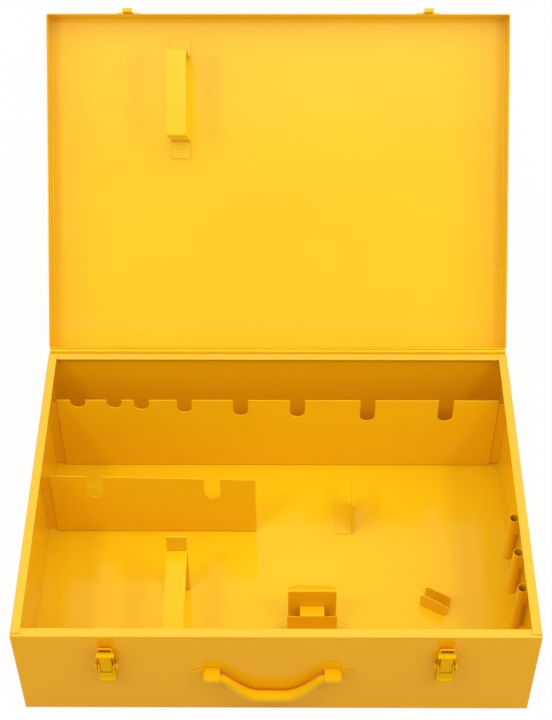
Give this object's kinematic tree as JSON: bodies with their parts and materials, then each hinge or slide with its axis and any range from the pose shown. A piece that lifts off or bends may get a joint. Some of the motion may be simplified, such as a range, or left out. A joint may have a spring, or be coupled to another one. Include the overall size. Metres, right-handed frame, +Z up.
{
  "type": "metal storage case",
  "caption": "Yellow folded sheet steel storage case with a hinged tray lid, notched dividers, tool holders, socket tubes, draw latches and a swing handle.",
  "frame": {"origin": "middle of the case's underside, on the surface it stands on", "axes": "+X to the right as the user faces the latches, -Y towards the user, +Z up"},
  "size_m": [0.6, 0.7795, 0.4879],
  "materials": {
    "yellow_coat": "semi-gloss yellow powder coat on sheet steel",
    "fitting_coat": "semi-gloss yellow paint on steel fittings",
    "zinc_steel": "zinc plated steel"
  },
  "bodies": {
    "case": {"case_shell": "yellow_coat", "side_wall_left": "yellow_coat", "side_wall_right": "yellow_coat", "rear_divider": "yellow_coat", "rear_divider_angle_left": "yellow_coat", "rear_divider_angle_right": "yellow_coat", "left_divider": "yellow_coat", "left_divider_angle": "yellow_coat", "rest_post": "yellow_coat", "rest_bar": "yellow_coat", "holder_back_plate": "yellow_coat", "holder_front_plate": "yellow_coat", "floor_bracket": "yellow_coat", "floor_clip": "yellow_coat", "socket_tube_1": "yellow_coat", "socket_tube_2": "yellow_coat", "socket_tube_3": "yellow_coat", "hinge_body_leaf": "fitting_coat", "hinge_pin": "zinc_steel", "latch_base_left": "fitting_coat", "latch_base_right": "fitting_coat", "latch_rivet_left_outer": "fitting_coat", "latch_rivet_left_inner": "fitting_coat", "latch_rivet_right_outer": "fitting_coat", "latch_rivet_right_inner": "fitting_coat", "handle_plate_left": "fitting_coat", "handle_plate_right": "fitting_coat", "handle_clip_left": "fitting_coat", "handle_clip_right": "fitting_coat"},
    "lid": {"lid_tray": "yellow_coat", "lid_strap": "yellow_coat", "lid_catch_left": "fitting_coat", "lid_catch_right": "fitting_coat", "hinge_lid_leaf": "fitting_coat"},
    "handle": {"handle_bar": "fitting_coat"},
    "lever_left": {"latch_lever_left": "fitting_coat", "latch_loop_pin_left": "zinc_steel"},
    "lever_right": {"latch_lever_right": "fitting_coat", "latch_loop_pin_right": "zinc_steel"},
    "loop_left": {"latch_loop_left": "fitting_coat"},
    "loop_right": {"latch_loop_right": "fitting_coat"}
  },
  "joints": [
    {"name": "lid_hinge", "type": "hinge", "parent": "case", "child": "lid", "pos_m": [0, 0.2197, 0.1583], "axis": [1, 0, 0], "range_deg": [0, 133.44]},
    {"name": "handle_swing", "type": "hinge", "parent": "case", "child": "handle", "pos_m": [-0.0043, -0.2253, 0.083], "axis": [-1, 0, 0], "range_deg": [0, 180]},
    {"name": "lever_left_swing", "type": "hinge", "parent": "case", "child": "lever_left", "pos_m": [-0.194, -0.225, 0.108], "axis": [-1, 0, 0], "range_deg": [0, 95]},
    {"name": "lever_right_swing", "type": "hinge", "parent": "case", "child": "lever_right", "pos_m": [0.194, -0.225, 0.108], "axis": [-1, 0, 0], "range_deg": [0, 95]},
    {"name": "loop_left_swing", "type": "hinge", "parent": "lever_left", "child": "loop_left", "pos_m": [-0.194, -0.2245, 0.1], "axis": [-1, 0, 0], "range_deg": [-95, 0]},
    {"name": "loop_right_swing", "type": "hinge", "parent": "lever_right", "child": "loop_right", "pos_m": [0.194, -0.2245, 0.1], "axis": [-1, 0, 0], "range_deg": [-95, 0]}
  ],
  "couplings": [
    {"joint": "loop_left_swing", "follows": "lever_left_swing", "ratio": -1},
    {"joint": "loop_right_swing", "follows": "lever_right_swing", "ratio": -1}
  ]
}
